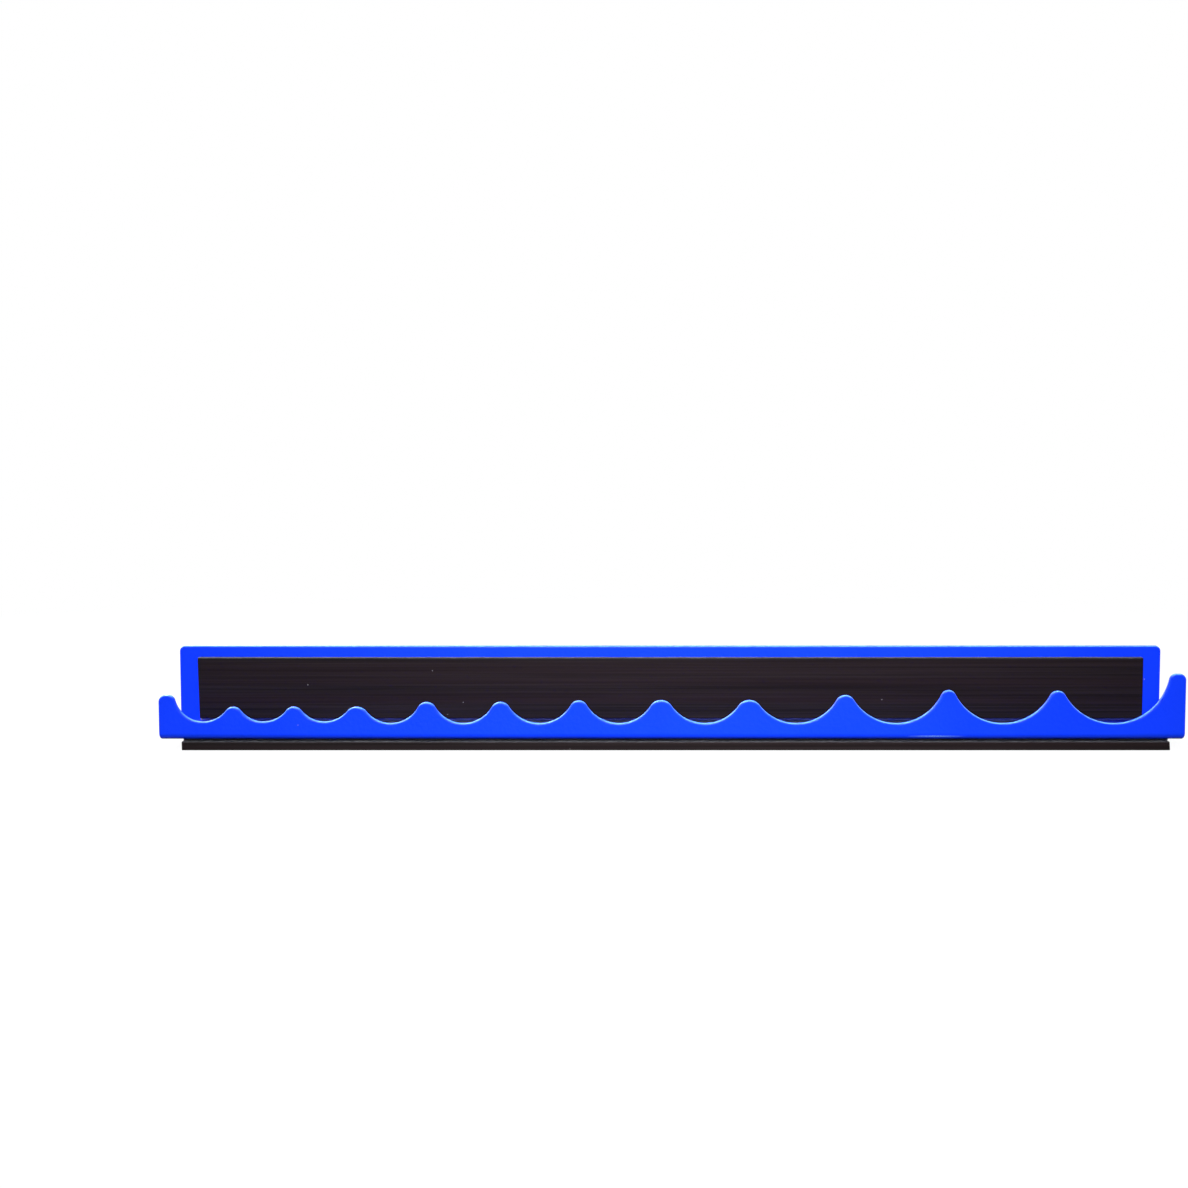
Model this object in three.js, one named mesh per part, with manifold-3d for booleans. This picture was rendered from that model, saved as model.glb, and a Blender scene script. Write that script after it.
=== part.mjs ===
// Magnetic socket holder: a folded steel rail with a scalloped front lip. A magnet strip on its back plate pulls
// sockets against it, each lying in a round seat of the lip, and a second strip under the shelf holds the rail
// on a steel surface. Both strips are stuck on with double-sided tape.
// Millimetres, +Z up. X runs along the rail, the lip faces -Y, and z = 0 is the surface that the holder stands on.
import * as THREE from "three";
import { mergeVertices } from "three/addons/utils/BufferGeometryUtils.js";
import Module from "manifold-3d";

// Folded sheet
const SHEET = 1.5; // thickness of the steel with its powder coat
const FOLD_INSIDE = 0.5; // inside radius of both folds
const DEPTH = 25; // from the lip's front face to the back plate's rear face
const BACK_HEIGHT = 25.2; // from the sheet's underside to the back plate's top edge
const BACK_CORNER = 1.8; // radius of the back plate's top corners

// Lip. Heights are over the sheet's underside. The seats run from left to right: a land is the metal between a seat
// and the next one, on the line through their centres, and a tip is the radius of the tooth that rises there.
const SMALL_SEAT_BOTTOM = 5.3;
const SEAT_BOTTOM = 4.85;
const SEAT_1 = { radius: 8.4, bottom: SMALL_SEAT_BOTTOM, land: 0.8, tip: 2.7 };
const SEAT_2 = { radius: 8.4, bottom: SMALL_SEAT_BOTTOM, land: 0.8, tip: 2.8 };
const SEAT_3 = { radius: 8.65, bottom: SMALL_SEAT_BOTTOM, land: 1.6, tip: 3.65 };
const SEAT_4 = { radius: 9.1, bottom: SEAT_BOTTOM, land: 2.6, tip: 2.9 };
const SEAT_5 = { radius: 9.55, bottom: SEAT_BOTTOM, land: 2.05, tip: 2.95 };
const SEAT_6 = { radius: 10.6, bottom: SEAT_BOTTOM, land: 1.6, tip: 2.65 };
const SEAT_7 = { radius: 11, bottom: SEAT_BOTTOM, land: 2.25, tip: 3.65 };
const SEAT_8 = { radius: 11.9, bottom: SEAT_BOTTOM, land: 1.25, tip: 3.85 };
const SEAT_9 = { radius: 13.55, bottom: SEAT_BOTTOM, land: 1, tip: 2.95 };
const SEAT_10 = { radius: 14.6, bottom: SEAT_BOTTOM, land: 0.9, tip: 2.25 };
const SEAT_11 = { radius: 15.7, bottom: SEAT_BOTTOM, land: 0.3, tip: 2.5 };
const SEAT_12 = { radius: 16.4, bottom: SEAT_BOTTOM };
const SEATS = [
  SEAT_1, SEAT_2, SEAT_3, SEAT_4, SEAT_5, SEAT_6,
  SEAT_7, SEAT_8, SEAT_9, SEAT_10, SEAT_11, SEAT_12,
];
const LEFT_HORN = { height: 13.15, corner: 2.1, flat: 0.75 };
const RIGHT_HORN = { height: 19.35, corner: 1.9, flat: 1.14 };

// Magnet strips and their tapes
const STRIP_THICKNESS = 2.6;
const STRIP_EDGE = 0.4; // rounding of a strip's long edges
const TAPE_THICKNESS = 0.6;
const SOCKET_STRIP_END = 6.35; // bare sheet beyond each end of the socket strip
const SOCKET_STRIP_ABOVE = 3.35; // bare sheet over the socket strip
const SOCKET_STRIP_BELOW = 1.7; // from the shelf up to the socket strip
const SOCKET_TAPE_BELOW = 0.1; // from the rear fold up to the socket strip's tape, which shows under the strip
const BASE_STRIP_LEFT = 6.6; // from each end of the rail to that end of the base strip
const BASE_STRIP_RIGHT = 4.3;
const BASE_STRIP_FRONT = 0.3; // base strip's front edge behind the lip's front face
const BASE_STRIP_REAR = 6.2; // base strip's rear edge ahead of the back plate's rear face
const BASE_TAPE_INSET = 2.2; // base strip's bare edge outside each long edge of its tape

// Fineness of round stretches, and how far a cutting body reaches past what it cuts
const ARC_STEP = THREE.MathUtils.degToRad(4);
const FOLD_STEPS = 10;
const EDGE_STEPS = 4;
const CUT_SPARE = 2;

// Colours
const BLUE_POWDER_COAT = 0x194bfa;
const MAGNET_BROWN_BLACK = 0x2a252b;
const TAPE_GREY = 0x8b8a92;

// Faces that the pieces share
const FRONT_FACE = -DEPTH / 2;
const REAR_FACE = DEPTH / 2;
const PLATE_FACE = REAR_FACE - SHEET;
const SHEET_UNDERSIDE = STRIP_THICKNESS + TAPE_THICKNESS;

const wasm = await Module();
wasm.setup();

// A closed geometry as a solid that can be cut
function solidOf(geometry) {
  const bare = geometry.clone();
  bare.deleteAttribute("normal");
  bare.deleteAttribute("uv");
  const merged = mergeVertices(bare);
  const vertProperties = merged.attributes.position.array;
  const triVerts = new Uint32Array(merged.index.array);
  return new wasm.Manifold(new wasm.Mesh({ numProp: 3, vertProperties, triVerts }));
}

function geometryOf(solid) {
  const { vertProperties, triVerts } = solid.getMesh();
  const geometry = new THREE.BufferGeometry();
  geometry.setAttribute("position", new THREE.BufferAttribute(vertProperties, 3));
  geometry.setIndex(new THREE.BufferAttribute(triVerts, 1));
  geometry.computeVertexNormals();
  return geometry;
}

// A section of the YZ plane drawn out along X
function drawnAlongX(section, left, right) {
  const geometry = new THREE.ExtrudeGeometry(section, { depth: right - left, bevelEnabled: false });
  const yzx = new THREE.Matrix4().makeBasis(
    new THREE.Vector3(0, 1, 0),
    new THREE.Vector3(0, 0, 1),
    new THREE.Vector3(1, 0, 0),
  );
  return geometry.applyMatrix4(yzx).translate(left, 0, 0);
}

// An outline of the XZ plane drawn out along Y
function drawnAlongY(outline, front, rear) {
  const geometry = new THREE.ExtrudeGeometry(outline, { depth: rear - front, bevelEnabled: false });
  const xzy = new THREE.Matrix4().makeBasis(
    new THREE.Vector3(1, 0, 0),
    new THREE.Vector3(0, 0, 1),
    new THREE.Vector3(0, -1, 0),
  );
  return geometry.applyMatrix4(xzy).translate(0, rear, 0);
}

function arcPoints(circle, from, to, steps) {
  const { x, z, radius } = circle;
  return new THREE.EllipseCurve(x, z, radius, radius, from, to, to < from).getPoints(steps);
}

// Lip layout: the seats stand in a row from x = 0, and the rail ends where its two horns end

function seatCircles() {
  const circles = [];
  let x = 0;
  SEATS.forEach(({ radius, bottom }, i) => {
    if (i > 0) x += SEATS[i - 1].radius + SEATS[i - 1].land + radius;
    circles.push({ x, z: bottom + radius, radius });
  });
  return circles;
}

// The tooth's tip between two seats is the circle under the line of their centres that touches both
function tipCircle(left, right, radius) {
  const span = Math.hypot(right.x - left.x, right.z - left.z);
  const alongX = (right.x - left.x) / span;
  const alongZ = (right.z - left.z) / span;
  const toLeft = left.radius + radius;
  const toRight = right.radius + radius;
  const along = (span ** 2 + toLeft ** 2 - toRight ** 2) / (2 * span);
  const under = Math.sqrt(toLeft ** 2 - along ** 2);
  return {
    x: left.x + alongX * along + alongZ * under,
    z: left.z + alongZ * along - alongX * under,
    radius,
  };
}

// A horn's inner corner touches the end seat, and its outer corner rounds off the rail's end.
// The side is -1 for the left horn and 1 for the right one.
function hornCorners(seat, horn, side) {
  const z = horn.height - horn.corner;
  const reach = Math.sqrt((seat.radius + horn.corner) ** 2 - (seat.z - z) ** 2);
  const inner = { x: seat.x + side * reach, z, radius: horn.corner };
  const outer = { ...inner, x: inner.x + side * horn.flat };
  return { inner, outer, end: outer.x + side * horn.corner };
}

const seats = seatCircles();
const tips = seats.slice(1).map((seat, i) => tipCircle(seats[i], seat, SEATS[i].tip));
const leftHorn = hornCorners(seats[0], LEFT_HORN, -1);
const rightHorn = hornCorners(seats.at(-1), RIGHT_HORN, 1);

const RAIL_LENGTH = rightHorn.end - leftHorn.end;
const ROW_SHIFT = -(leftHorn.end + rightHorn.end) / 2; // brings the rail's middle to x = 0
const RAIL_LEFT = -RAIL_LENGTH / 2;
const RAIL_RIGHT = RAIL_LENGTH / 2;

// The lip's edge from the left end to the right end, as one line of arcs that touch each other
function lipEdge() {
  const row = [leftHorn.inner];
  seats.forEach((seat, i) => row.push(seat, tips[i] ?? rightHorn.inner));
  const points = arcPoints(leftHorn.outer, Math.PI, Math.PI / 2, Math.ceil(Math.PI / 2 / ARC_STEP));
  row.forEach((circle, i) => {
    const before = row[i - 1];
    const after = row[i + 1];
    const isSeat = i % 2 === 1;
    let from = before ? Math.atan2(before.z - circle.z, before.x - circle.x) : Math.PI / 2;
    const to = after ? Math.atan2(after.z - circle.z, after.x - circle.x) : Math.PI / 2;
    if (isSeat && from > to) from -= 2 * Math.PI;
    const arc = arcPoints(circle, from, to, Math.ceil(Math.abs(to - from) / ARC_STEP));
    points.push(...(i > 0 ? arc.slice(1) : arc));
  });
  points.push(...arcPoints(rightHorn.outer, Math.PI / 2, 0, Math.ceil(Math.PI / 2 / ARC_STEP)));
  return points.map((point) => new THREE.Vector2(point.x + ROW_SHIFT, point.y));
}

// Everything over the lip's edge
function overLip(top) {
  const edge = lipEdge();
  const { y: leftHeight } = edge[0];
  const { y: rightHeight } = edge.at(-1);
  return new THREE.Shape([
    new THREE.Vector2(RAIL_LEFT - CUT_SPARE, top),
    new THREE.Vector2(RAIL_LEFT - CUT_SPARE, leftHeight),
    ...edge,
    new THREE.Vector2(RAIL_RIGHT + CUT_SPARE, rightHeight),
    new THREE.Vector2(RAIL_RIGHT + CUT_SPARE, top),
  ]);
}

// What lies outside a rounded top corner of the back plate, on the left (-1) or the right (1)
function outsideBackCorner(side) {
  const circle = { x: RAIL_RIGHT - BACK_CORNER, z: BACK_HEIGHT - BACK_CORNER, radius: BACK_CORNER };
  const points = [
    ...arcPoints(circle, 0, Math.PI / 2, FOLD_STEPS),
    new THREE.Vector2(circle.x, BACK_HEIGHT + CUT_SPARE),
    new THREE.Vector2(RAIL_RIGHT + CUT_SPARE, BACK_HEIGHT + CUT_SPARE),
    new THREE.Vector2(RAIL_RIGHT + CUT_SPARE, circle.z),
  ];
  return new THREE.Shape(points.map((point) => new THREE.Vector2(side * point.x, point.y)));
}

// The channel's section: lip, shelf and back plate, with both folds round
function channelSection(lipTop) {
  const foldOutside = FOLD_INSIDE + SHEET;
  const frontFold = { x: FRONT_FACE + foldOutside, z: foldOutside };
  const rearFold = { x: REAR_FACE - foldOutside, z: foldOutside };
  const quarter = Math.PI / 2;
  return new THREE.Shape([
    new THREE.Vector2(FRONT_FACE, lipTop),
    ...arcPoints({ ...frontFold, radius: foldOutside }, 2 * quarter, 3 * quarter, FOLD_STEPS),
    ...arcPoints({ ...rearFold, radius: foldOutside }, 3 * quarter, 4 * quarter, FOLD_STEPS),
    new THREE.Vector2(REAR_FACE, BACK_HEIGHT),
    new THREE.Vector2(PLATE_FACE, BACK_HEIGHT),
    ...arcPoints({ ...rearFold, radius: FOLD_INSIDE }, 4 * quarter, 3 * quarter, FOLD_STEPS),
    ...arcPoints({ ...frontFold, radius: FOLD_INSIDE }, 3 * quarter, 2 * quarter, FOLD_STEPS),
    new THREE.Vector2(FRONT_FACE + SHEET, lipTop),
  ]);
}

function foldedRail() {
  const lipTop = Math.max(LEFT_HORN.height, RIGHT_HORN.height) + CUT_SPARE;
  const channel = solidOf(drawnAlongX(channelSection(lipTop), RAIL_LEFT, RAIL_RIGHT));
  const lipRear = FRONT_FACE + SHEET + CUT_SPARE;
  const lipCut = solidOf(drawnAlongY(overLip(lipTop + CUT_SPARE), FRONT_FACE - CUT_SPARE, lipRear));
  const cornerCuts = [-1, 1].map((side) =>
    solidOf(drawnAlongY(outsideBackCorner(side), PLATE_FACE - CUT_SPARE, REAR_FACE + CUT_SPARE)),
  );
  const rail = cornerCuts.reduce((solid, cut) => solid.subtract(cut), channel.subtract(lipCut));
  const material = new THREE.MeshStandardMaterial({ color: BLUE_POWDER_COAT, roughness: 0.4, metalness: 0 });
  const mesh = new THREE.Mesh(geometryOf(rail), material);
  mesh.name = "folded_rail";
  mesh.position.z = SHEET_UNDERSIDE;
  return mesh;
}

// A strip's section has its long edges rounded, and a tape's section is plain
function stripSection(rear, front, low, high) {
  const corner = (x, z) => ({ x, z, radius: STRIP_EDGE });
  const quarter = Math.PI / 2;
  return new THREE.Shape([
    ...arcPoints(corner(rear - STRIP_EDGE, high - STRIP_EDGE), 0, quarter, EDGE_STEPS),
    ...arcPoints(corner(front + STRIP_EDGE, high - STRIP_EDGE), quarter, 2 * quarter, EDGE_STEPS),
    ...arcPoints(corner(front + STRIP_EDGE, low + STRIP_EDGE), 2 * quarter, 3 * quarter, EDGE_STEPS),
    ...arcPoints(corner(rear - STRIP_EDGE, low + STRIP_EDGE), 3 * quarter, 4 * quarter, EDGE_STEPS),
  ]);
}

function tapeSection(rear, front, low, high) {
  return new THREE.Shape([
    new THREE.Vector2(front, low),
    new THREE.Vector2(rear, low),
    new THREE.Vector2(rear, high),
    new THREE.Vector2(front, high),
  ]);
}

function magnetStrip(name, section, left, right) {
  const material = new THREE.MeshStandardMaterial({
    color: MAGNET_BROWN_BLACK,
    roughness: 0.6,
    metalness: 0,
  });
  const mesh = new THREE.Mesh(drawnAlongX(section, left, right), material);
  mesh.name = name;
  return mesh;
}

function adhesiveTape(name, section, left, right) {
  const material = new THREE.MeshStandardMaterial({ color: TAPE_GREY, roughness: 0.5, metalness: 0 });
  const mesh = new THREE.Mesh(drawnAlongX(section, left, right), material);
  mesh.name = name;
  return mesh;
}

// The socket strip stands on the front of the back plate. Its tape starts lower, over the rear fold.
function socketStrip() {
  const left = RAIL_LEFT + SOCKET_STRIP_END;
  const right = RAIL_RIGHT - SOCKET_STRIP_END;
  const low = SHEET_UNDERSIDE + SHEET + SOCKET_STRIP_BELOW;
  const high = SHEET_UNDERSIDE + BACK_HEIGHT - SOCKET_STRIP_ABOVE;
  const stripRear = PLATE_FACE - TAPE_THICKNESS;
  const strip = stripSection(stripRear, stripRear - STRIP_THICKNESS, low, high);
  const tapeLow = SHEET_UNDERSIDE + SHEET + FOLD_INSIDE + SOCKET_TAPE_BELOW;
  const tape = tapeSection(PLATE_FACE, stripRear, tapeLow, high - STRIP_EDGE);
  return [
    magnetStrip("socket_magnet_strip", strip, left, right),
    adhesiveTape("socket_strip_tape", tape, left, right),
  ];
}

// The base strip lies under the shelf
function baseStrip() {
  const left = RAIL_LEFT + BASE_STRIP_LEFT;
  const right = RAIL_RIGHT - BASE_STRIP_RIGHT;
  const front = FRONT_FACE + BASE_STRIP_FRONT;
  const rear = REAR_FACE - BASE_STRIP_REAR;
  const strip = stripSection(rear, front, 0, STRIP_THICKNESS);
  const tapeRear = rear - BASE_TAPE_INSET;
  const tapeFront = front + BASE_TAPE_INSET;
  const tape = tapeSection(tapeRear, tapeFront, STRIP_THICKNESS, SHEET_UNDERSIDE);
  return [
    magnetStrip("base_magnet_strip", strip, left, right),
    adhesiveTape("base_strip_tape", tape, left, right),
  ];
}

const holder = new THREE.Group();
holder.name = "magnetic_socket_holder";
holder.add(foldedRail(), ...socketStrip(), ...baseStrip());

export default holder;
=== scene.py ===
# %% [markdown]
# # Magnetic socket holder
#
# The object is a rail of folded sheet steel under a smooth blue powder coat. Its front lip is cut into
# twelve round seats that grow from left to right. A flexible magnet strip on the back plate pulls in what
# lies in the seats, and a second strip under the shelf holds the rail on a steel surface. This lesson loads
# the construction model, which already has every size, and dresses it: rounded painted edges, drawn magnet
# strips with their tapes, studio light and a camera.

import math
import random

import bmesh
import bpy
from mathutils import Matrix, Vector, noise


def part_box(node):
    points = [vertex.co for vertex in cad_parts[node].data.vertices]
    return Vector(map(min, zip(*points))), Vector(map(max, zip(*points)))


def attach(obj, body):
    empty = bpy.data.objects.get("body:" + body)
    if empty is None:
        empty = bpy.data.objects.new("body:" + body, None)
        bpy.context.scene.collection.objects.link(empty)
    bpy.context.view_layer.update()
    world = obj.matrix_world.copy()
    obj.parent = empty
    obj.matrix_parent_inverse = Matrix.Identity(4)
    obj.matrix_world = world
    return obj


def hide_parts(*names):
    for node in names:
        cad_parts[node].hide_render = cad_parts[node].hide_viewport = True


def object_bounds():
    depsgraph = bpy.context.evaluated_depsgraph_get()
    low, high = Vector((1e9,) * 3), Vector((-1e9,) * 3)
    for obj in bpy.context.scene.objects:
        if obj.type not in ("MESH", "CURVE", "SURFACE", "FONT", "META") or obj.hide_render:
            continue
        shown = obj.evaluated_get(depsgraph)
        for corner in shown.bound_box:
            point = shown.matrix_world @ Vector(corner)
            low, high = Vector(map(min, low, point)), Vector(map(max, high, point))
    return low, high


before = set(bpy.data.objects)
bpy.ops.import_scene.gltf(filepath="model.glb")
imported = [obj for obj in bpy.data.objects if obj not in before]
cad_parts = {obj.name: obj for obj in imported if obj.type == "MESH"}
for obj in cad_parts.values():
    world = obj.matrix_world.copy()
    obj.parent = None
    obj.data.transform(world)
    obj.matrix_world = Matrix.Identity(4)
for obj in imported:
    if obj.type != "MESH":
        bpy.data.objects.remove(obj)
cad_low, cad_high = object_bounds()

MM = 0.001
scene = bpy.context.scene
print("construction model, mm:", [round(side / MM, 1) for side in cad_high - cad_low])

# %% [markdown]
# ## Camera
#
# The photograph looks at the rail from straight ahead and a little above. A camera can be set by eye, but
# here the rail's known sizes give its distance: the back plate stands 25 mm behind the lip and looks shorter
# by 5 %. The rail lies right of the picture's middle, so the lens is shifted a little, and the rest comes
# from standing the camera left of the rail's middle.

# %% Camera
PHOTO_SIDE = 1188  # pixels
FOCAL_LENGTH = 1617.6  # pixels
SENSOR = 36  # millimetres
CAMERA_PLACE = Vector((-12.4, -480.8, 79.6)) * MM
LOOKS_DOWN = math.radians(4.116)
LENS_SHIFT = -0.03

scene.view_settings.view_transform = "Standard"
camera_data = bpy.data.cameras.new("photo_camera")
camera_data.sensor_width = SENSOR
camera_data.lens = SENSOR * FOCAL_LENGTH / PHOTO_SIDE
camera_data.shift_x = LENS_SHIFT
camera = bpy.data.objects.new("photo_camera", camera_data)
camera.location = CAMERA_PLACE
camera.rotation_euler = (math.pi / 2 - LOOKS_DOWN, 0, 0)
scene.collection.objects.link(camera)
scene.camera = camera
print("camera lens, mm:", round(camera_data.lens, 2))

# %% [markdown]
# ## Building materials from nodes
#
# A procedural material is a small graph of nodes. Written out in full, every setting and every link takes a
# line, so a few helpers keep the graphs readable. Where a helper takes a value, it is written as a pair: a
# node and one of its outputs.

# %% Node helpers
def add(tree, kind, settings=None, **inputs):
    """Adds a node with its settings and the values of its inputs."""
    made = tree.nodes.new(kind)
    for name, value in (settings or {}).items():
        setattr(made, name, value)
    for name, value in inputs.items():
        made.inputs[name.replace("_", " ")].default_value = value
    return made


def join(tree, source, output, target, socket):
    tree.links.new(source.outputs[output], target.inputs[socket])


def times(tree, first, second, clamp=False):
    """The product of two values."""
    product = add(tree, "ShaderNodeMath", {"operation": "MULTIPLY", "use_clamp": clamp})
    join(tree, *first, product, 0)
    join(tree, *second, product, 1)
    return product


def spread(tree, value, low, high):
    """Spreads a value of 0 to 1 between two others."""
    made = add(tree, "ShaderNodeMapRange", To_Min=low, To_Max=high)
    join(tree, *value, made, "Value")
    return made


def rise(tree, value, low, high, kind="SMOOTHSTEP"):
    """Rises from 0 to 1 while the value runs from low to high."""
    made = add(tree, "ShaderNodeMapRange", {"interpolation_type": kind}, From_Min=low, From_Max=high)
    join(tree, *value, made, "Value")
    return made


def new_material(name):
    material = bpy.data.materials.new(name)
    material.use_nodes = True
    tree = material.node_tree
    tree.nodes.clear()
    return material, tree


# %% [markdown]
# ## Stage
#
# The photograph has a pure white ground. A floor that is white by strong light would flood the object with
# bounced light, so this floor is a dark grey that takes the object's shadow, with a glow that only the
# camera and mirror rays see. Away from the object the glow takes over, and floor and background run into
# one white.

# %% Floor
FLOOR_SIDE = 6.0  # metres
FLOOR_GREY = (0.06, 0.06, 0.06, 1)
BLACK = (0, 0, 0, 1)
FLOOR_GLOW = 0.95
FULL_GLOW = 1
FADE_FROM = 0.25  # metres from the object's middle
FADE_TO = 0.6


def seen_directly(tree):
    """1 for camera, mirror and see-through rays, and 0 for the rest."""
    path = add(tree, "ShaderNodeLightPath")
    camera_or_mirror = add(tree, "ShaderNodeMath", {"operation": "MAXIMUM"})
    join(tree, path, "Is Camera Ray", camera_or_mirror, 0)
    join(tree, path, "Is Glossy Ray", camera_or_mirror, 1)
    seen = add(tree, "ShaderNodeMath", {"operation": "MAXIMUM"})
    join(tree, camera_or_mirror, 0, seen, 0)
    join(tree, path, "Is Transmission Ray", seen, 1)
    return seen


def floor_material():
    material, tree = new_material("studio_floor")
    coordinates = add(tree, "ShaderNodeTexCoord")
    distance = add(tree, "ShaderNodeVectorMath", {"operation": "LENGTH"})
    join(tree, coordinates, "Object", distance, 0)
    fade = rise(tree, (distance, "Value"), FADE_FROM, FADE_TO)
    glow_strength = spread(tree, (fade, "Result"), FLOOR_GLOW, FULL_GLOW)
    seen_glow = times(tree, (glow_strength, "Result"), (seen_directly(tree), 0))
    glow = add(tree, "ShaderNodeEmission")
    join(tree, seen_glow, 0, glow, "Strength")
    grey = add(tree, "ShaderNodeBsdfDiffuse", Color=FLOOR_GREY)
    nothing = add(tree, "ShaderNodeBsdfTransparent", Color=BLACK)
    faded_grey = add(tree, "ShaderNodeMixShader")
    join(tree, fade, "Result", faded_grey, 0)
    join(tree, grey, 0, faded_grey, 1)
    join(tree, nothing, 0, faded_grey, 2)
    lit = add(tree, "ShaderNodeAddShader")
    join(tree, faded_grey, 0, lit, 0)
    join(tree, glow, 0, lit, 1)
    output = add(tree, "ShaderNodeOutputMaterial")
    join(tree, lit, 0, output, "Surface")
    return material


floor_shape = bmesh.new()
bmesh.ops.create_grid(floor_shape, x_segments=1, y_segments=1, size=FLOOR_SIDE / 2)
floor_mesh = bpy.data.meshes.new("studio_floor")
floor_shape.to_mesh(floor_mesh)
floor_shape.free()
floor_mesh.materials.append(floor_material())
floor = bpy.data.objects.new("studio_floor", floor_mesh)
scene.collection.objects.link(floor)
print("floor side, m:", FLOOR_SIDE)

# %% [markdown]
# ## Light
#
# In the photograph the front fold runs from bright blue to nearly black, which puts the main light in front
# of the rail and about 34 degrees up, with little light from elsewhere. It is brightest in the middle, so
# that softbox has a grid that narrows its beam. A second softbox hangs high behind the rail, left of its
# middle: the edges that face up and left are the brightest ones, and yet the trough lies in the back plate's
# shadow. Two weaker softboxes at the sides are there for the views of the ends.

# %% Lamps and world
WHITE = (1, 1, 1, 1)
WORLD_LEVEL = 0.1
BACKGROUND_LEVEL = 1
OPEN_BEAM = 180  # degrees
RAIL_MIDDLE = (cad_low + cad_high) / 2


def softbox(name, place, side, watts, beam=OPEN_BEAM):
    """A square lamp that is turned to the rail's middle. Places and sides are in metres."""
    lamp = bpy.data.lights.new(name, "AREA")
    lamp.shape = "SQUARE"
    lamp.size = side
    lamp.energy = watts
    lamp.spread = math.radians(beam)
    holder = bpy.data.objects.new(name, lamp)
    holder.location = place
    holder.rotation_euler = (RAIL_MIDDLE - Vector(place)).to_track_quat("-Z", "Y").to_euler()
    scene.collection.objects.link(holder)


def studio_world():
    world = bpy.data.worlds.new("studio_world")
    world.use_nodes = True
    tree = world.node_tree
    tree.nodes.clear()
    level = spread(tree, (seen_directly(tree), 0), WORLD_LEVEL, BACKGROUND_LEVEL)
    background = add(tree, "ShaderNodeBackground", Color=WHITE)
    join(tree, level, "Result", background, "Strength")
    output = add(tree, "ShaderNodeOutputWorld")
    join(tree, background, 0, output, "Surface")
    return world


softbox("front_softbox", (-0.03, -0.56, 0.39), side=0.3, watts=0.67, beam=38)
softbox("rear_softbox", (-0.38, 0.42, 0.47), side=0.4, watts=11)
softbox("left_softbox", (-0.85, 0.1, 0.45), side=0.4, watts=4)
softbox("right_softbox", (0.85, 0.1, 0.45), side=0.4, watts=4)
scene.world = studio_world()
print("lamps:", [light.name for light in bpy.data.lights])

# %% [markdown]
# ## Effects that several finishes share
#
# Grain, drawn lines, specks and dust, which also carries a painted highlight, turn up on more than one
# surface. Their nodes could be copied into every material, but then each copy would need the same
# corrections. So each effect is a node group with named sockets, built once and placed in each material with
# its own values. They read the object's own coordinates, so a pattern keeps its real size on every piece.

# %% Effect group helper
VECTOR = "NodeSocketVector"
NUMBER = "NodeSocketFloat"


def effect_group(name, inputs, outputs):
    """An empty group with its sockets, and the two nodes at which it starts and ends."""
    group = bpy.data.node_groups.new(name, "ShaderNodeTree")
    for label, kind in inputs.items():
        group.interface.new_socket(label, in_out="INPUT", socket_type=kind)
    for label in outputs:
        group.interface.new_socket(label, in_out="OUTPUT", socket_type=NUMBER)
    return group, add(group, "NodeGroupInput"), add(group, "NodeGroupOutput")


# %% [markdown]
# ### Grain
#
# Paint, rubber and a cut face all show soft bumps of one size. A noise texture gives them. Its values crowd
# round the middle, so they are stretched until the bumps stand out.

# %% Grain
GRAIN_CONTRAST = (0.3, 0.7)


def grain_group():
    """Soft bumps of one size, from 0 to 1."""
    inputs = {"Place": VECTOR, "Grains per metre": NUMBER}
    group, start, end = effect_group("fine_grain", inputs, ["Grain"])
    bumps = add(group, "ShaderNodeTexNoise", Detail=2, Roughness=0.5)
    join(group, start, "Place", bumps, "Vector")
    join(group, start, "Grains per metre", bumps, "Scale")
    contrast = rise(group, (bumps, 0), *GRAIN_CONTRAST)
    join(group, contrast, "Result", end, "Grain")
    return group


FINE_GRAIN = grain_group()
print("effect:", FINE_GRAIN.name)

# %% [markdown]
# ### Drawn lines
#
# An extruder and a coating roller both leave lines along the way they run, here along X. A wave texture would
# repeat them evenly. Noise that is stretched along X gives lines of uneven width that begin and end, and a
# coarser one gives broad bands.

# %% Drawn lines
LINE_CONTRAST = (0.35, 0.65)
LINE_KINDS = (("Fine", 1.0, 3), ("Bands", 0.18, 1))  # label, scale and detail


def lines_group():
    """Fine lines and broad bands along X, from 0 to 1."""
    inputs = {"Place": VECTOR, "Along per metre": NUMBER, "Across per metre": NUMBER}
    group, start, end = effect_group("drawn_lines", inputs, ["Fine", "Bands"])
    stretch = add(group, "ShaderNodeCombineXYZ")
    join(group, start, "Along per metre", stretch, "X")
    join(group, start, "Across per metre", stretch, "Y")
    join(group, start, "Across per metre", stretch, "Z")
    stretched = add(group, "ShaderNodeVectorMath", {"operation": "MULTIPLY"})
    join(group, start, "Place", stretched, 0)
    join(group, stretch, 0, stretched, 1)
    for label, scale, detail in LINE_KINDS:
        lines = add(group, "ShaderNodeTexNoise", Scale=scale, Detail=detail, Roughness=0.6)
        join(group, stretched, 0, lines, "Vector")
        contrast = rise(group, (lines, 0), *LINE_CONTRAST, kind="LINEAR")
        join(group, contrast, "Result", end, label)
    return group


DRAWN_LINES = lines_group()
print("effect:", DRAWN_LINES.name)

# %% [markdown]
# ### Specks
#
# Grit in the paint and fluff on a strip lie as single specks. They could be painted in one by one. A Voronoi
# texture is quicker: it has one point in each of its cells, and a small ragged disc round the point is a
# speck.

# %% Specks
WOBBLES_PER_METRE = 2500


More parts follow.
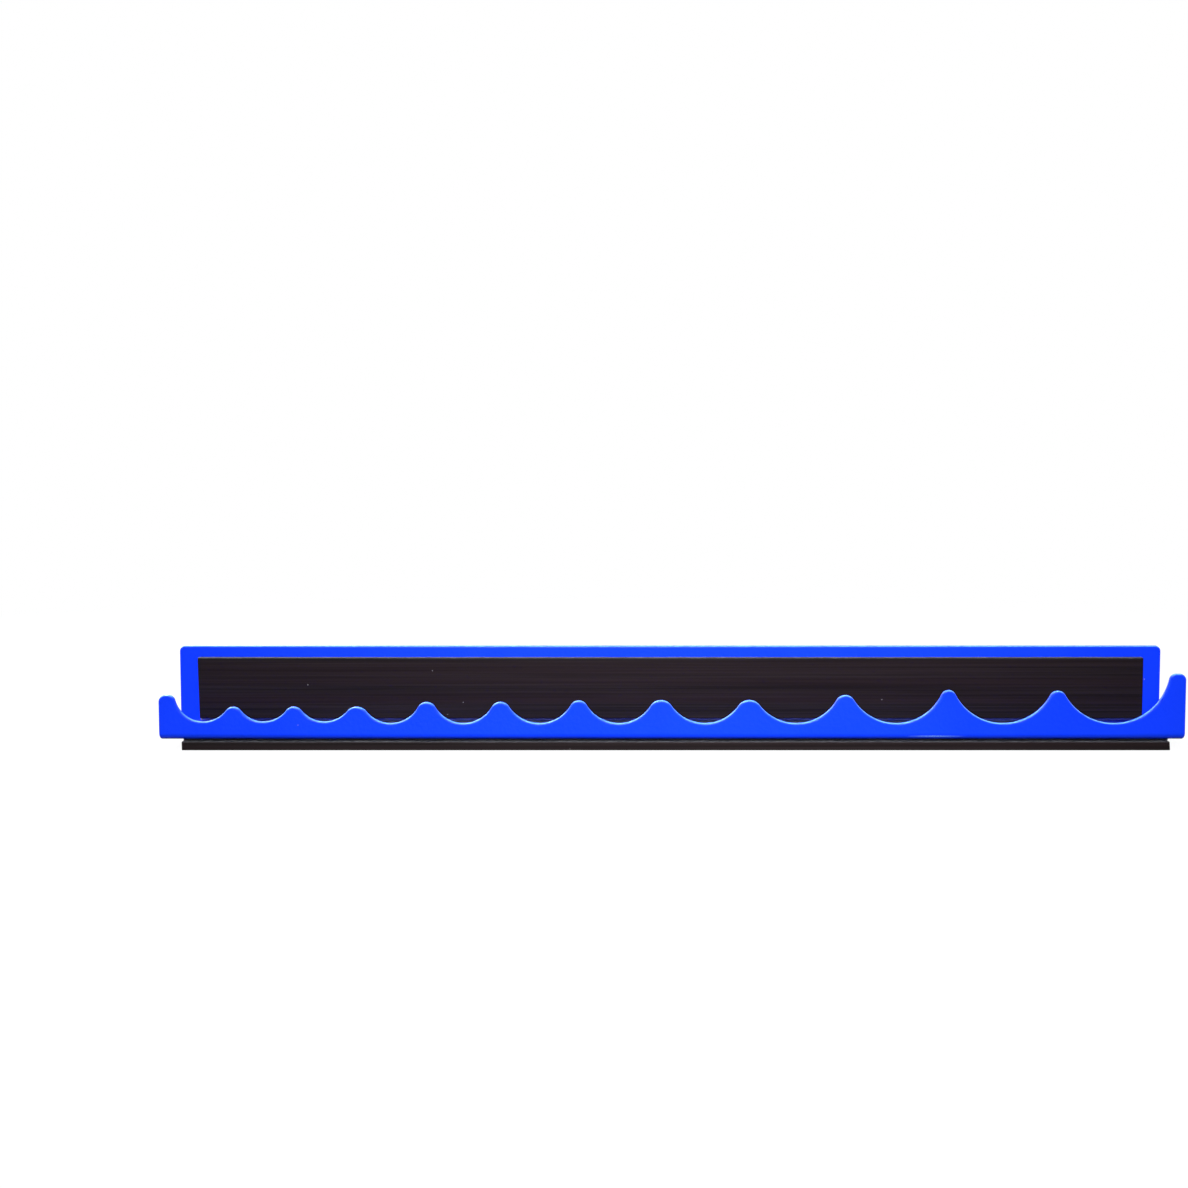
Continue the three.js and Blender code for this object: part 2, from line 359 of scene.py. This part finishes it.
def specks_group():
    """A few small ragged specks, each at a random place."""
    inputs = {"Place": VECTOR, "Cells per metre": NUMBER, "Radius": NUMBER}
    group, start, end = effect_group("scattered_specks", inputs, ["Mask"])
    wobble = add(group, "ShaderNodeTexNoise", Scale=WOBBLES_PER_METRE, Detail=1)
    join(group, start, "Place", wobble, "Vector")
    cells = add(group, "ShaderNodeTexVoronoi")
    join(group, start, "Place", cells, "Vector")
    join(group, start, "Cells per metre", cells, "Scale")
    ragged = times(group, (start, "Radius"), (wobble, 0))
    mask = add(group, "ShaderNodeMath", {"operation": "LESS_THAN"})
    join(group, cells, "Distance", mask, 0)
    join(group, ragged, 0, mask, 1)
    join(group, mask, 0, end, "Mask")
    return group


SCATTERED_SPECKS = specks_group()
print("effect:", SCATTERED_SPECKS.name)

# %% [markdown]
# ### Settled dust and painted highlight
#
# Dust lies on what faces up, more in some patches than in others. The upward part of the surface's normal
# says where, and noise says how much. The same mask also carries painted highlight: turned far up, it lays a
# paler blue on the paint's upper edges, and its dust is partly a painted highlight, most of all along the
# magnet strips' top edges.

# %% Settled dust and painted highlight
FACES_UP = (0.35, 0.9)  # upward part of the normal, where the mask begins and where it is full
PATCHES_PER_METRE = 700


def upward_dust_and_highlight_group():
    """How much dust, and with it painted highlight, lies on the sides that face up, from 0 to 1."""
    inputs = {"Place": VECTOR, "Facing": VECTOR, "Amount": NUMBER}
    group, start, end = effect_group("upward_dust_and_highlight", inputs, ["Mask"])
    parts = add(group, "ShaderNodeSeparateXYZ")
    join(group, start, "Facing", parts, 0)
    upward = rise(group, (parts, "Z"), *FACES_UP)
    patches = add(group, "ShaderNodeTexNoise", Scale=PATCHES_PER_METRE, Detail=3, Roughness=0.6)
    join(group, start, "Place", patches, "Vector")
    amount = times(group, (patches, 0), (start, "Amount"))
    mask = times(group, (upward, "Result"), (amount, 0), clamp=True)
    join(group, mask, 0, end, "Mask")
    return group


UPWARD_DUST_AND_HIGHLIGHT = upward_dust_and_highlight_group()
print("effect:", UPWARD_DUST_AND_HIGHLIGHT.name)

# %% [markdown]
# ## Putting a finish together
#
# A finish has a shader, effects that are placed on the piece, a colour that is mixed by masks, and a normal
# that the grain bends a little. A painted picture could hold the colour, but it would have to be unwrapped
# and would blur close up. Masks stay sharp, and one number turns each of them up or down.

# %% Finish helpers
def principled(tree, **inputs):
    shader = add(tree, "ShaderNodeBsdfPrincipled", **inputs)
    output = add(tree, "ShaderNodeOutputMaterial")
    join(tree, shader, "BSDF", output, "Surface")
    return shader


def effect(tree, group, place, **inputs):
    """Places a shared effect with its own values."""
    made = add(tree, "ShaderNodeGroup", {"node_tree": group}, **inputs)
    join(tree, place, "Object", made, "Place")
    if "Facing" in made.inputs:
        join(tree, place, "Normal", made, "Facing")
    return made


def result_colour(mix):
    return [output for output in mix.outputs if output.type == "RGBA"][0]


def blend_colours(tree, factor, first, second):
    """Runs from the first colour to the second. A colour is a fixed one or another blend."""
    mix = add(tree, "ShaderNodeMix", {"data_type": "RGBA"})
    join(tree, *factor, mix, "Factor")
    for label, colour in (("A", first), ("B", second)):
        target = [socket for socket in mix.inputs if socket.name == label and socket.type == "RGBA"][0]
        if isinstance(colour, tuple):
            target.default_value = colour
        else:
            tree.links.new(result_colour(colour), target)
    return mix


def bump(tree, height, strength, depth):
    """Bends the normal by a value that is read as a height."""
    made = add(tree, "ShaderNodeBump", Strength=strength, Distance=depth)
    join(tree, *height, made, "Height")
    return made


print("shared effects:", [group.name for group in bpy.data.node_groups])

# %% [markdown]
# ## Blue powder coat
#
# Powder is sprayed on dry and melts into a closed film. It keeps a slight orange peel of about a millimetre,
# and its colour is a touch uneven. It draws thin over cut edges. The upper edges get a painted highlight, a
# paler blue, and the front fold has one pale streak. The rear fold gets painted shade, a dark grey that fills
# it under the socket strip. One even blue would look like plastic, so the colour is laid on in layers, from
# the film to the painted shade on top of it. The painted highlight follows a mark in the rail's mesh, which
# is made further down.

# %% Powder coat
BLUE = (0.0032, 0.044, 0.95, 1)
DEEP_BLUE = (0.0024, 0.040, 0.92, 1)
# a paler blue, the painted highlight on the upper edges
PAINTED_HIGHLIGHT_BLUE = (0.13, 0.38, 0.98, 1)
PALE_STREAK_BLUE = (0.30, 0.58, 0.97, 1)
# a dark grey for painted shade in the rear fold, under the socket strip
FOLD_SHADE = (0.10, 0.10, 0.11, 1)
# the grey of dust; the upward mask also lays it on as painted highlight
DUST_AND_HIGHLIGHT_GREY = (0.32, 0.34, 0.37, 1)
COAT_ROUGHNESS = (0.34, 0.42)
PALE_STREAK_PLACE = Vector((77, -12.2, 4.2)) * MM
PALE_STREAK_REACH = Vector((9, 1.6, 0.4)) * MM
FOLD_CENTRE = Vector((0, 10.5, 5.2)) * MM
FOLD_SHADE_REACH = Vector((156, 2, 2)) * MM  # it ends with the strip, and at the fold's outer face
FOLD_SHADE_WEIGHT = (4, 5)  # above 1, so that the painted shade is full nearly to the end of its reach


def spot(tree, place, centre, reach):
    """1 in the middle of a stretched ball and 0 at its skin."""
    ball_frame = add(tree, "ShaderNodeMapping", {"vector_type": "TEXTURE"}, Location=centre, Scale=reach)
    join(tree, place, "Object", ball_frame, "Vector")
    ball = add(tree, "ShaderNodeTexGradient", {"gradient_type": "SPHERICAL"})
    join(tree, ball_frame, 0, ball, 0)
    return ball


def powder_coat():
    material, tree = new_material("blue_powder_coat")
    shader = principled(tree, Specular_IOR_Level=0.12)
    place = add(tree, "ShaderNodeTexCoord")
    patches = effect(tree, FINE_GRAIN, place, Grains_per_metre=45)
    peel = effect(tree, FINE_GRAIN, place, Grains_per_metre=900)
    grit = effect(tree, FINE_GRAIN, place, Grains_per_metre=5200)
    specks = effect(tree, SCATTERED_SPECKS, place, Cells_per_metre=150, Radius=0.03)
    # faint dust on the sides that face up, which also lightens them a little as painted highlight
    dust_and_highlight = effect(tree, UPWARD_DUST_AND_HIGHLIGHT, place, Amount=0.06)
    # turned far up, the upward mask says where the painted highlight goes
    upper_side = effect(tree, UPWARD_DUST_AND_HIGHLIGHT, place, Amount=2.2)

    rim = add(tree, "ShaderNodeAttribute", {"attribute_name": "rim"})
    # painted highlight: the bevel's inner rows, where they face up
    painted_highlight = times(tree, (rim, "Fac"), (upper_side, "Mask"))
    # a pale streak along the front fold, broken up by the fine grit grain
    pale_streak = times(tree, (spot(tree, place, PALE_STREAK_PLACE, PALE_STREAK_REACH), "Fac"), (grit, "Grain"))
    shade_weight = spread(tree, (peel, "Grain"), *FOLD_SHADE_WEIGHT)
    # painted shade in the rear fold, patchy with the orange peel
    fold_shade = times(tree, (spot(tree, place, FOLD_CENTRE, FOLD_SHADE_REACH), "Fac"), (shade_weight, "Result"))

    colour = blend_colours(tree, (patches, "Grain"), DEEP_BLUE, BLUE)
    colour = blend_colours(tree, (painted_highlight, 0), colour, PAINTED_HIGHLIGHT_BLUE)
    colour = blend_colours(tree, (pale_streak, 0), colour, PALE_STREAK_BLUE)
    colour = blend_colours(tree, (specks, "Mask"), colour, DUST_AND_HIGHLIGHT_GREY)
    colour = blend_colours(tree, (dust_and_highlight, "Mask"), colour, DUST_AND_HIGHLIGHT_GREY)
    colour = blend_colours(tree, (fold_shade, 0), colour, FOLD_SHADE)
    tree.links.new(result_colour(colour), shader.inputs["Base Color"])

    gloss = spread(tree, (peel, "Grain"), *COAT_ROUGHNESS)
    join(tree, gloss, "Result", shader, "Roughness")
    waves = bump(tree, (peel, "Grain"), strength=0.12, depth=0.2 * MM)
    fine_waves = bump(tree, (grit, "Grain"), strength=0.06, depth=0.05 * MM)
    join(tree, waves, "Normal", fine_waves, "Normal")
    join(tree, fine_waves, "Normal", shader, "Normal")
    return material


POWDER_COAT = powder_coat()
print("finish:", POWDER_COAT.name)

# %% [markdown]
# ## Flexible magnet
#
# The strips are ferrite powder in rubber, pressed through a die. The die leaves fine lines along the strip,
# the brown-black compound is a little redder in some bands than in others, and the face gathers a few specks
# of dust. The ends are cut with a blade, which leaves the bare grain of the compound. One finish could serve
# for both, but drawn lines on a cut face would look like paint, so the ends have a finish of their own.

# %% Magnet finishes
MAGNET_DARK = (0.0020, 0.0018, 0.0020, 1)
MAGNET_LIGHT = (0.0140, 0.0105, 0.0115, 1)
MAGNET_RED = (0.0125, 0.0062, 0.0075, 1)
MAGNET_ROUGHNESS = (0.62, 0.46)
RED_SHARE = (0, 0.6)
CUT_DARK = (0.010, 0.009, 0.010, 1)
CUT_LIGHT = (0.030, 0.028, 0.030, 1)
CUT_ROUGHNESS = (0.7, 0.9)
PALE_SPECK = (0.12, 0.115, 0.115, 1)


def drawn_magnet():
    material, tree = new_material("flexible_magnet")
    shader = principled(tree, Specular_IOR_Level=0.06)
    place = add(tree, "ShaderNodeTexCoord")
    lines = effect(tree, DRAWN_LINES, place, Along_per_metre=9, Across_per_metre=1300)
    grain = effect(tree, FINE_GRAIN, place, Grains_per_metre=4200)
    specks = effect(tree, SCATTERED_SPECKS, place, Cells_per_metre=150, Radius=0.06)
    # dust on the sides that face up, which along the strips' top edges is also a pale line of painted
    # highlight
    dust_and_highlight = effect(tree, UPWARD_DUST_AND_HIGHLIGHT, place, Amount=0.35)

    colour = blend_colours(tree, (lines, "Fine"), MAGNET_DARK, MAGNET_LIGHT)
    redder = spread(tree, (lines, "Bands"), *RED_SHARE)
    colour = blend_colours(tree, (redder, "Result"), colour, MAGNET_RED)
    colour = blend_colours(tree, (specks, "Mask"), colour, PALE_SPECK)
    colour = blend_colours(tree, (dust_and_highlight, "Mask"), colour, DUST_AND_HIGHLIGHT_GREY)
    tree.links.new(result_colour(colour), shader.inputs["Base Color"])

    gloss = spread(tree, (lines, "Fine"), *MAGNET_ROUGHNESS)
    join(tree, gloss, "Result", shader, "Roughness")
    ridges = bump(tree, (lines, "Fine"), strength=0.25, depth=0.06 * MM)
    grit = bump(tree, (grain, "Grain"), strength=0.15, depth=0.04 * MM)
    join(tree, ridges, "Normal", grit, "Normal")
    join(tree, grit, "Normal", shader, "Normal")
    return material


def cut_magnet():
    material, tree = new_material("cut_magnet_end")
    shader = principled(tree, Specular_IOR_Level=0.2)
    place = add(tree, "ShaderNodeTexCoord")
    grain = effect(tree, FINE_GRAIN, place, Grains_per_metre=3000)
    colour = blend_colours(tree, (grain, "Grain"), CUT_DARK, CUT_LIGHT)
    tree.links.new(result_colour(colour), shader.inputs["Base Color"])
    dull = spread(tree, (grain, "Grain"), *CUT_ROUGHNESS)
    join(tree, dull, "Result", shader, "Roughness")
    crumbs = bump(tree, (grain, "Grain"), strength=0.4, depth=0.1 * MM)
    join(tree, crumbs, "Normal", shader, "Normal")
    return material


DRAWN_MAGNET = drawn_magnet()
CUT_MAGNET = cut_magnet()
print("finishes:", DRAWN_MAGNET.name, CUT_MAGNET.name)

# %% [markdown]
# ## Adhesive tape
#
# Double-sided tape shows only as a thin line round each strip, and from afar a plain grey would do. Close up
# its film has coating lines, and dust sticks to the exposed glue, so its edge is a cloudy grey that is made
# of the same effects as the other finishes.

# %% Tape finish
TAPE_GREY = (0.20, 0.19, 0.22, 1)
TAPE_PALE = (0.34, 0.33, 0.36, 1)
TAPE_ROUGHNESS = (0.4, 0.6)


def tape_film():
    material, tree = new_material("adhesive_tape")
    shader = principled(tree, Specular_IOR_Level=0.4)
    place = add(tree, "ShaderNodeTexCoord")
    lines = effect(tree, DRAWN_LINES, place, Along_per_metre=60, Across_per_metre=900)
    fluff = effect(tree, SCATTERED_SPECKS, place, Cells_per_metre=900, Radius=0.4)
    colour = blend_colours(tree, (lines, "Fine"), TAPE_GREY, TAPE_PALE)
    colour = blend_colours(tree, (fluff, "Mask"), colour, DUST_AND_HIGHLIGHT_GREY)
    tree.links.new(result_colour(colour), shader.inputs["Base Color"])
    gloss = spread(tree, (lines, "Bands"), *TAPE_ROUGHNESS)
    join(tree, gloss, "Result", shader, "Roughness")
    film = bump(tree, (lines, "Fine"), strength=0.2, depth=0.05 * MM)
    join(tree, film, "Normal", shader, "Normal")
    return material


TAPE_FILM = tape_film()
print("finish:", TAPE_FILM.name)

# %% [markdown]
# ## Making a finished piece
#
# Each piece stands for one node of the construction model and rides on the model's only body. Smooth shading
# alone would bend the light on large flat faces beside their small roundings. Weighted normals keep the large
# faces flat and the roundings round, and they need no more faces.

# %% Piece helper
FACE_WEIGHT = 60  # above 50, so that the large faces win


def finish_piece(shape, name, node, finishes):
    mesh = bpy.data.meshes.new(name)
    shape.to_mesh(mesh)
    shape.free()
    mesh.shade_smooth()
    for finish in finishes:
        mesh.materials.append(finish)
    piece = bpy.data.objects.new(name, mesh)
    scene.collection.objects.link(piece)
    even = piece.modifiers.new("even_normals", "WEIGHTED_NORMAL")
    even.weight = FACE_WEIGHT
    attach(piece, "root")
    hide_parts(node)
    print(name, "has", len(mesh.polygons), "faces")


# %% [markdown]
# ## Folded rail
#
# The construction model already holds the cut and folded sheet, as loose triangles with sharp edges, while
# the paint rounds every real edge. The rail could be modelled afresh, but then two sets of sizes would have
# to agree. So a copy of the model's mesh is merged, its flat triangles are dissolved into whole faces, and
# every sharp edge gets a bevel. The bevel's inner rows are marked, and where they face up the coat gets a
# painted highlight, a paler blue.

# %% Folded rail
SAME_POINT = 0.001 * MM
FLAT_WITHIN = math.radians(1)
SHARP_FROM = math.radians(30)
COATED_EDGE = 0.7 * MM
COATED_EDGE_STEPS = 4


def round_edges(shape, edges, offset, steps):
    return bmesh.ops.bevel(
        shape,
        geom=edges,
        offset=offset,
        offset_type="OFFSET",
        segments=steps,
        profile=0.5,
        affect="EDGES",
        material=-1,
    )


def folded_rail():
    shape = bmesh.new()
    shape.from_mesh(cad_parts["folded_rail"].data)
    bmesh.ops.remove_doubles(shape, verts=shape.verts, dist=SAME_POINT)
    bmesh.ops.dissolve_limit(shape, angle_limit=FLAT_WITHIN, verts=shape.verts, edges=shape.edges)
    sharp = [edge for edge in shape.edges if edge.calc_face_angle() > SHARP_FROM]
    rounding = set(round_edges(shape, sharp, COATED_EDGE, COATED_EDGE_STEPS)["faces"])
    rim = shape.verts.layers.float.new("rim")
    for vert in shape.verts:
        vert[rim] = float(all(face in rounding for face in vert.link_faces))
    print("sharp edges rounded:", len(sharp))
    finish_piece(shape, "rail", "folded_rail", [POWDER_COAT])


folded_rail()

# %% [markdown]
# ## Magnet strips
#
# A strip starts as a block of its node's size. The die rounds its long edges, and the blade only breaks the
# edges of its ends. The die lines could be bump in the material alone, but slanting light finds real ridges.
# So planes slice the face into rows of uneven width, and each row sinks by a few hundredths of a millimetre.
# Slices across the strip let the face wander slightly along its length. Two of the ends lean, as a cut by
# hand leaves them.

# %% Magnet strips
DIE_EDGE = 0.4 * MM
DIE_EDGE_STEPS = 4
CUT_EDGE = 0.1 * MM
CUT_EDGE_STEPS = 2
NARROW_LINE = 0.3 * MM
WIDE_LINE = 0.95 * MM
LINE_DEPTH = 0.03 * MM
WANDER_STEP = 9 * MM
WANDER_DEPTH = 0.03 * MM
WANDER_PER_METRE = 35
ALONG = Vector((1, 0, 0))
PARALLEL = 0.99  # share of a direction that runs along the strip
CUT_FACE = 0.9


def node_block(node):
    low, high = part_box(node)
    shape = bmesh.new()
    at_place = Matrix.Translation((low + high) / 2) @ Matrix.Diagonal((*(high - low), 1))
    bmesh.ops.create_cube(shape, size=1, matrix=at_place)
    return shape, low, high


def slice_across(shape, normal, places):
    for place in places:
        everything = shape.verts[:] + shape.edges[:] + shape.faces[:]
        bmesh.ops.bisect_plane(shape, geom=everything, plane_co=normal * place, plane_no=normal)


def share_along(direction):
    """How much of a direction runs along the strip, from 0 to 1."""
    return abs(direction.normalized().dot(ALONG))


def uneven_places(draw, low, high, narrow, wide):
    places = []
    place = low + draw.uniform(narrow, wide)
    while place < high - narrow:
        places.append(place)
        place += draw.uniform(narrow, wide)
    return places


def die_and_blade_edges(shape):
    """Rounds the long edges and then breaks the edges of the ends."""
    long_edges = [edge for edge in shape.edges if share_along(edge.verts[1].co - edge.verts[0].co) > PARALLEL]
    round_edges(shape, long_edges, DIE_EDGE, DIE_EDGE_STEPS)
    shape.normal_update()
    ends = [face for face in shape.faces if share_along(face.normal) > PARALLEL]
    end_edges = [edge for edge in shape.edges if any(face in ends for face in edge.link_faces)]
    round_edges(shape, end_edges, CUT_EDGE, CUT_EDGE_STEPS)


def lean_ends(shape, low, high, left_lean, right_lean):
    """Draws an end in at its top or, where its lean is negative, at its bottom."""

    def inward(lean, height_share):
        return max(lean, 0) * height_share + max(-lean, 0) * (1 - height_share)

    for vert in shape.verts:
        height_share = (vert.co.z - low.z) / (high.z - low.z)
        if vert.co.x < low.x + WANDER_STEP / 2:
            vert.co.x += inward(left_lean, height_share)
        if vert.co.x > high.x - WANDER_STEP / 2:
            vert.co.x -= inward(right_lean, height_share)


def magnet_strip(name, node, across, outward, leans, seed):
    """Across is the axis over the strip's face, outward points out of the face, and leans are those of the
    left and the right end."""
    draw = random.Random(seed)
    shape, low, high = node_block(node)
    die_and_blade_edges(shape)

    first = low.dot(across) + DIE_EDGE
    last = high.dot(across) - DIE_EDGE
    lines = uneven_places(draw, first, last, NARROW_LINE, WIDE_LINE)
    slice_across(shape, across, lines)
    slice_across(shape, ALONG, uneven_places(draw, low.x, high.x, WANDER_STEP, WANDER_STEP))

    face_level = max(low.dot(outward), high.dot(outward))
    depths = {line: draw.uniform(0, LINE_DEPTH) for line in lines}
    for vert in shape.verts:
        line = min(lines, key=lambda place: abs(place - vert.co.dot(across)))
        on_line = abs(line - vert.co.dot(across)) < SAME_POINT
        on_face = abs(face_level - vert.co.dot(outward)) < SAME_POINT
        if on_line and on_face:
            wander = noise.noise(Vector((vert.co.x * WANDER_PER_METRE, line * WANDER_PER_METRE, seed)))
            vert.co -= outward * (depths[line] + WANDER_DEPTH * (0.5 + 0.5 * wander))

    lean_ends(shape, low, high, *leans)
    shape.normal_update()
    for face in shape.faces:
        face.material_index = int(share_along(face.normal) > CUT_FACE)
    print(name, "has", len(lines), "die lines")
    finish_piece(shape, name, node, [DRAWN_MAGNET, CUT_MAGNET])


UP = Vector((0, 0, 1))
DOWN = Vector((0, 0, -1))
BACK = Vector((0, 1, 0))
FRONT = Vector((0, -1, 0))
magnet_strip("socket_strip", "socket_magnet_strip", UP, FRONT, leans=(-0.35 * MM, 0), seed=3)
magnet_strip("base_strip", "base_magnet_strip", BACK, DOWN, leans=(0, 0.2 * MM), seed=8)

# %% [markdown]
# ## Tapes
#
# The tape is cut a little narrower than its strip, and its soft edge never runs quite straight. A plain block
# would show as a ruled line, and a displaced one would need many faces. So a block of the node's size is
# sliced across at uneven places, and the points along its rim are drawn in by uneven amounts.

# %% Tapes
TAPE_SHORT_STEP = 2 * MM
TAPE_LONG_STEP = 6 * MM
TAPE_DRAWN_IN = 0.25 * MM


def tape(name, node, across, seed):
    draw = random.Random(seed)
    shape, low, high = node_block(node)
    slice_across(shape, ALONG, uneven_places(draw, low.x, high.x, TAPE_SHORT_STEP, TAPE_LONG_STEP))
    middle = (low + high) / 2
    columns = {}
    for vert in shape.verts:
        far_side = vert.co.dot(across) > middle.dot(across)
        columns.setdefault((round(vert.co.x / SAME_POINT), far_side), []).append(vert)
    for (_, far_side), verts in columns.items():
        drawn_in = draw.uniform(0, TAPE_DRAWN_IN) * (-1 if far_side else 1)
        bmesh.ops.translate(shape, verts=verts, vec=across * drawn_in)
    finish_piece(shape, name, node, [TAPE_FILM])


tape("socket_tape", "socket_strip_tape", UP, seed=5)
tape("base_tape", "base_strip_tape", BACK, seed=6)
